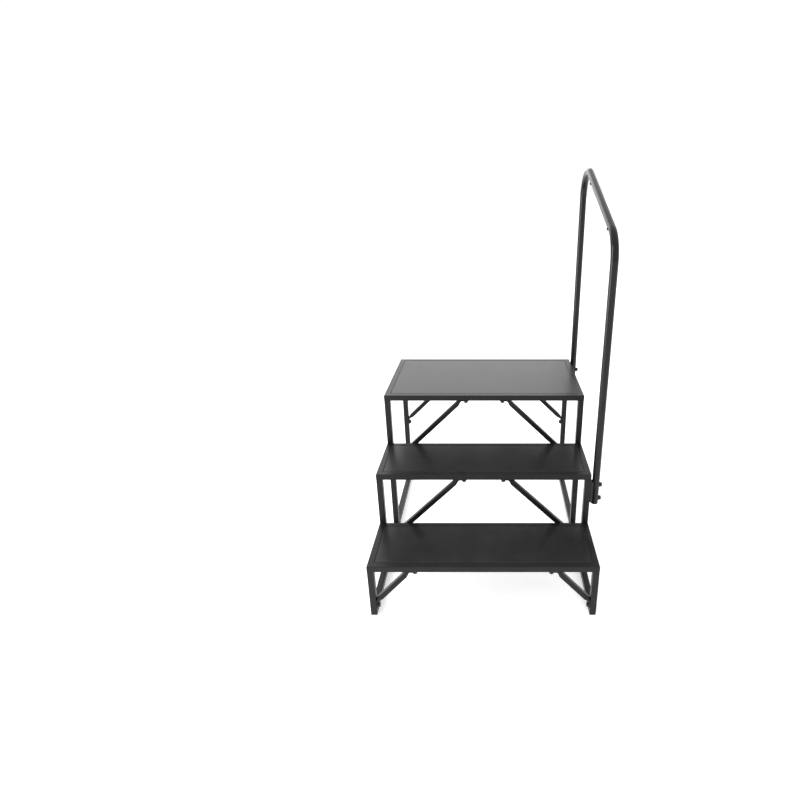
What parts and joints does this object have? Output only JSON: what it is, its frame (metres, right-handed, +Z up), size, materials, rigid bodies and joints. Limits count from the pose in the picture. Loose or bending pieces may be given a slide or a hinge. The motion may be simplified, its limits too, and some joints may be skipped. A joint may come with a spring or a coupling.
{
  "type": "mounting block",
  "caption": "Free-standing stepped steel mounting block with open risers, bolted diagonal braces and a tall sloping tube handrail on one side.",
  "frame": {"origin": "on the floor, under the middle of the whole object's box", "axes": "+X to the rider's right as they climb, the side with the handrail; +Y from the lowest tread to the highest; +Z up"},
  "size_m": [0.7376, 0.862, 1.2899],
  "materials": {
    "black_frame": "satin black powder coat on square steel tube",
    "black_panel": "fine-grained satin black powder coat on sheet steel",
    "black_brace": "satin black powder coat on square steel tube with pressed ends",
    "black_handrail": "semi-gloss black powder coat on round steel tube",
    "black_bolts": "black oxide steel fasteners",
    "plated_steel": "zinc plated steel, hidden inside the tubes",
    "black_plastic": "matt black moulded plastic"
  },
  "bodies": {
    "root": {"tread_lower_front_tube": "black_frame", "tread_lower_rear_tube": "black_frame", "tread_lower_left_tube": "black_frame", "tread_lower_right_tube": "black_frame", "tread_lower_panel": "black_panel", "tread_lower_rib": "black_frame", "tread_middle_front_tube": "black_frame", "tread_middle_rear_tube": "black_frame", "tread_middle_left_tube": "black_frame", "tread_middle_right_tube": "black_frame", "tread_middle_panel": "black_panel", "tread_middle_rib": "black_frame", "tread_upper_front_tube": "black_frame", "tread_upper_rear_tube": "black_frame", "tread_upper_left_tube": "black_frame", "tread_upper_right_tube": "black_frame", "tread_upper_panel": "black_panel", "tread_upper_rib": "black_frame", "leg_lower_left": "black_frame", "leg_lower_right": "black_frame", "leg_middle_left": "black_frame", "leg_middle_right": "black_frame", "leg_upper_left": "black_frame", "leg_upper_right": "black_frame", "leg_rear_left": "black_frame", "leg_rear_right": "black_frame", "ground_rail_front_left": "black_frame", "ground_rail_front_right": "black_frame", "ground_rail_middle_left": "black_frame", "ground_rail_middle_right": "black_frame", "ground_rail_rear_left": "black_frame", "ground_rail_rear_right": "black_frame", "brace_lower_left": "black_brace", "brace_lower_right": "black_brace", "brace_middle_left": "black_brace", "brace_middle_right": "black_brace", "brace_upper_left": "black_brace", "brace_upper_right": "black_brace", "brace_rear_left": "black_brace", "brace_rear_right": "black_brace", "brace_bolts": "black_bolts", "flat_washers": "black_bolts", "rivet_nuts": "plated_steel", "leg_spigots": "plated_steel", "link_plugs": "plated_steel", "link_bolts": "black_bolts", "foot_caps_left": "black_plastic", "foot_caps_right": "black_plastic", "handrail_front_post": "black_handrail", "handrail_top_rail": "black_handrail", "handrail_rear_post": "black_handrail", "handrail_front_sleeve": "plated_steel", "handrail_rear_sleeve": "plated_steel", "handrail_screws": "black_bolts", "handrail_saddles": "black_plastic", "handrail_washers": "black_plastic", "handrail_bolts": "black_bolts", "handrail_end_caps": "black_plastic"}
  },
  "joints": []
}
